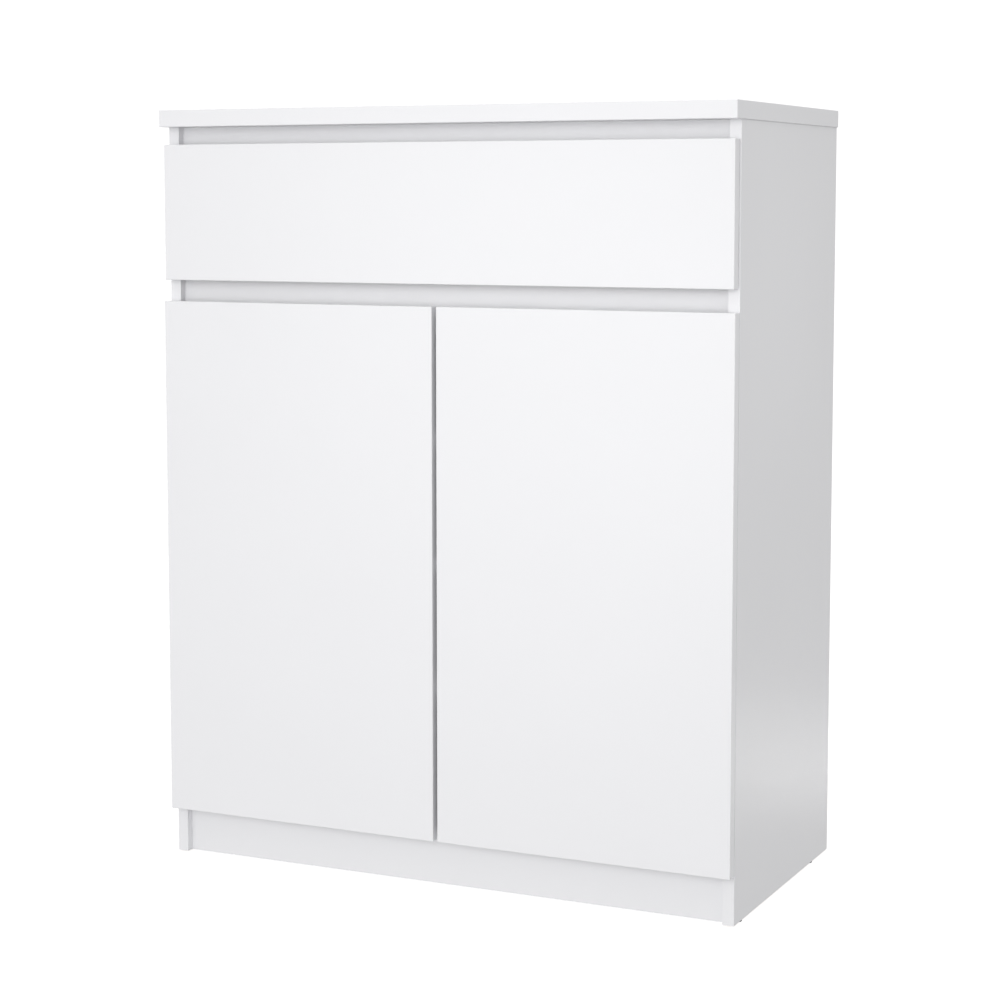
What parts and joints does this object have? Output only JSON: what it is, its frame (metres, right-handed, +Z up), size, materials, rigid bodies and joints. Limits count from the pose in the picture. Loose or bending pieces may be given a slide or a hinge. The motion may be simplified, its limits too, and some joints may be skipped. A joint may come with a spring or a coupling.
{
  "type": "sideboard",
  "caption": "White free-standing sideboard: a full-width drawer above a cupboard with hinged doors and shelves, finger slots instead of handles, set-back plinth.",
  "frame": {"origin": "middle of the outer box at floor level", "axes": "+Z up, front towards -Y, +X to the right seen from the front"},
  "size_m": [0.8, 0.399, 0.998],
  "materials": {
    "carcass_board": "satin white melamine-faced board",
    "front_board": "satin white foil-wrapped board",
    "drawer_board": "satin white melamine-faced board",
    "hardboard": "white lacquered hardboard, brown at the back",
    "white_plastic": "extruded white strip",
    "black_plastic": "moulded black glide",
    "beech": "fluted beech",
    "zinc": "die-cast zinc",
    "white_steel": "white epoxy-coated steel sheet",
    "nylon": "natural nylon",
    "clear_rubber": "clear soft pad",
    "nickel": "nickel-plated pressed steel",
    "steel": "bright zinc-plated steel"
  },
  "bodies": {
    "carcass": {"top_panel": "carcass_board", "left_side_panel": "carcass_board", "right_side_panel": "carcass_board", "base_panel": "carcass_board", "middle_panel": "carcass_board", "upper_grip_rail": "carcass_board", "middle_grip_rail": "carcass_board", "plinth_board": "carcass_board", "back_left_leaf": "hardboard", "back_right_leaf": "hardboard", "back_joining_strip": "white_plastic", "lower_shelf": "carcass_board", "middle_shelf": "carcass_board", "upper_shelf": "carcass_board", "shelf_pins": "steel", "floor_glides": "black_plastic", "cam_bolts": "steel", "cam_locks": "zinc", "wood_dowels": "beech", "wall_brackets": "steel", "wall_bracket_screws": "steel", "left_cabinet_rail": "white_steel", "right_cabinet_rail": "white_steel", "cabinet_roller_axles": "steel", "cabinet_rail_screws": "steel", "hinge_arms": "nickel", "hinge_arm_pins": "steel", "hinge_plates": "nickel", "hinge_plate_screws": "steel", "hinge_arm_screws": "steel"},
    "drawer": {"drawer_front": "front_board", "drawer_left_side": "drawer_board", "drawer_right_side": "drawer_board", "drawer_back": "drawer_board", "drawer_bottom": "hardboard", "drawer_front_bolts": "steel", "drawer_front_cams": "zinc", "drawer_back_screws": "steel", "drawer_bumpers": "clear_rubber", "left_drawer_rail": "white_steel", "right_drawer_rail": "white_steel", "drawer_roller_axles": "steel", "drawer_rail_screws": "steel"},
    "cabinet_rollers": {"cabinet_rollers": "nylon"},
    "drawer_rollers": {"drawer_rollers": "nylon"},
    "left_outer_links": {"left_hinge_outer_links": "nickel"},
    "left_door": {"left_door": "front_board", "left_hinge_cups": "nickel", "left_hinge_cup_pins": "steel", "left_hinge_cup_screws": "steel", "left_door_bumpers": "clear_rubber"},
    "left_inner_links": {"left_hinge_inner_links": "nickel"},
    "right_outer_links": {"right_hinge_outer_links": "nickel"},
    "right_door": {"right_door": "front_board", "right_hinge_cups": "nickel", "right_hinge_cup_pins": "steel", "right_hinge_cup_screws": "steel", "right_door_bumpers": "clear_rubber"},
    "right_inner_links": {"right_hinge_inner_links": "nickel"}
  },
  "joints": [
    {"name": "drawer_slide", "type": "slide", "parent": "carcass", "child": "drawer", "axis": [0, -1, 0], "range_m": [0, 0.25]},
    {"name": "cabinet_roller_spin", "type": "hinge", "parent": "carcass", "child": "cabinet_rollers", "pos_m": [0.3761, -0.138, 0.806], "axis": [1, 0, 0], "range_deg": [0, 1570]},
    {"name": "drawer_roller_spin", "type": "hinge", "parent": "drawer", "child": "drawer_rollers", "pos_m": [0.3761, 0.155, 0.81], "axis": [1, 0, 0], "range_deg": [0, 1570]},
    {"name": "left_outer_link_swing", "type": "hinge", "parent": "carcass", "child": "left_outer_links", "pos_m": [-0.37697, -0.18044, 0.406], "axis": [0, 0, 1], "range_deg": [0, 55.89]},
    {"name": "left_door_swing", "type": "hinge", "parent": "left_outer_links", "child": "left_door", "pos_m": [-0.3892, -0.18312, 0.406], "axis": [0, 0, -1], "range_deg": [0, 145.79]},
    {"name": "left_inner_link_swing", "type": "hinge", "parent": "left_door", "child": "left_inner_links", "pos_m": [-0.38399, -0.18314, 0.406], "axis": [0, 0, 1], "range_deg": [0, 135.2]},
    {"name": "right_outer_link_swing", "type": "hinge", "parent": "carcass", "child": "right_outer_links", "pos_m": [0.37697, -0.18044, 0.406], "axis": [0, 0, -1], "range_deg": [0, 55.89]},
    {"name": "right_door_swing", "type": "hinge", "parent": "right_outer_links", "child": "right_door", "pos_m": [0.3892, -0.18312, 0.406], "axis": [0, 0, 1], "range_deg": [0, 145.79]},
    {"name": "right_inner_link_swing", "type": "hinge", "parent": "right_door", "child": "right_inner_links", "pos_m": [0.38399, -0.18314, 0.406], "axis": [0, 0, -1], "range_deg": [0, 135.2]}
  ],
  "couplings": [
    {"joint": "cabinet_roller_spin", "follows": "drawer_slide", "rad_per_m": 108.7},
    {"joint": "drawer_roller_spin", "follows": "drawer_slide", "rad_per_m": 108.7},
    {"joint": "left_outer_link_swing", "follows": "left_door_swing", "ratio": 0.38267},
    {"joint": "left_inner_link_swing", "follows": "left_door_swing", "ratio": 0.926},
    {"joint": "right_outer_link_swing", "follows": "right_door_swing", "ratio": 0.38267},
    {"joint": "right_inner_link_swing", "follows": "right_door_swing", "ratio": 0.926}
  ]
}
